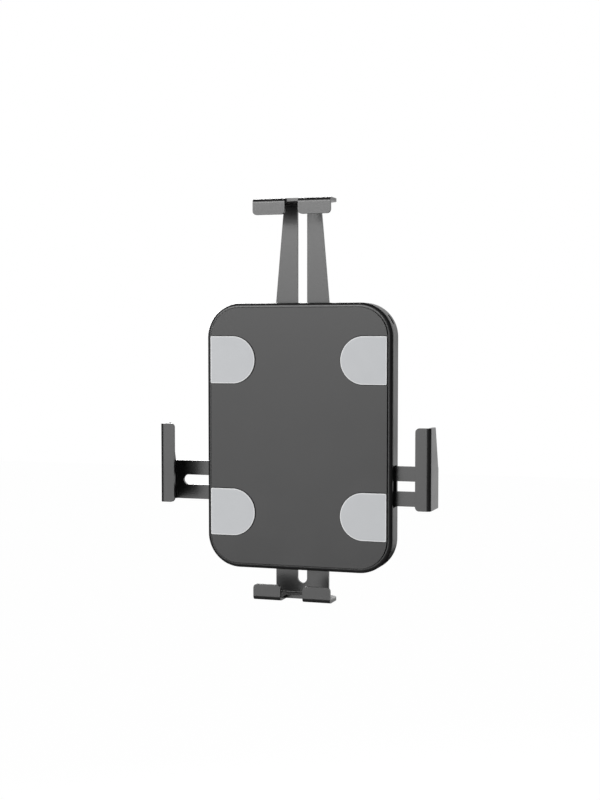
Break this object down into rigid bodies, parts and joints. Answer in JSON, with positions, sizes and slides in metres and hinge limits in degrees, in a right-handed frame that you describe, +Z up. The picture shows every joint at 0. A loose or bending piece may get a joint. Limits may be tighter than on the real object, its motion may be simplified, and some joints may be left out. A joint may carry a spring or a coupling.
{
  "type": "tablet wall mount",
  "caption": "Wall mount for a tablet: flat rounded steel case with soft pads and sliding hooked arms at top, bottom and sides, hung on a wall plate.",
  "frame": {"origin": "centre of the wall plate's screw pattern, in the wall plane", "axes": "+Z up, -Y towards the viewer, out of the wall; +X to the viewer's right"},
  "size_m": [0.1766, 0.0312, 0.2503],
  "materials": {
    "shell_black": "satin black powder coat",
    "cover_black": "fine satin black powder coat",
    "arm_black": "fine satin black powder coat on folded sheet",
    "pad_grey": "matt light grey silicone",
    "zinc_steel": "zinc plated",
    "dark_fastener": "black oxide"
  },
  "bodies": {
    "case": {"rear_shell": "shell_black", "front_plate": "cover_black", "pad_upper_left": "pad_grey", "pad_upper_right": "pad_grey", "pad_lower_left": "pad_grey", "pad_lower_right": "pad_grey", "wall_plate": "shell_black", "wall_studs": "zinc_steel", "chassis_plate": "zinc_steel", "chassis_spacers": "zinc_steel", "chassis_screws": "dark_fastener", "front_posts": "zinc_steel", "front_screws": "dark_fastener", "clamp_screws": "dark_fastener", "clamp_washers": "zinc_steel", "clamp_nuts": "zinc_steel", "top_strap": "zinc_steel", "bottom_strap": "zinc_steel", "right_strap": "zinc_steel", "left_strap": "zinc_steel", "strap_rivets": "zinc_steel"},
    "top_arm": {"top_arm": "arm_black"},
    "bottom_arm": {"bottom_arm": "arm_black"},
    "left_arm": {"left_arm": "arm_black"},
    "right_arm": {"right_arm": "arm_black"}
  },
  "joints": [
    {"name": "top_arm_slide", "type": "slide", "parent": "case", "child": "top_arm", "axis": [0, 0, 1], "range_m": [-0.0615, 0.006]},
    {"name": "bottom_arm_slide", "type": "slide", "parent": "case", "child": "bottom_arm", "axis": [0, 0, -1], "range_m": [-0.014, 0.006]},
    {"name": "left_arm_slide", "type": "slide", "parent": "case", "child": "left_arm", "axis": [-1, 0, 0], "range_m": [-0.0247, 0.005]},
    {"name": "right_arm_slide", "type": "slide", "parent": "case", "child": "right_arm", "axis": [1, 0, 0], "range_m": [-0.0247, 0.005]}
  ]
}
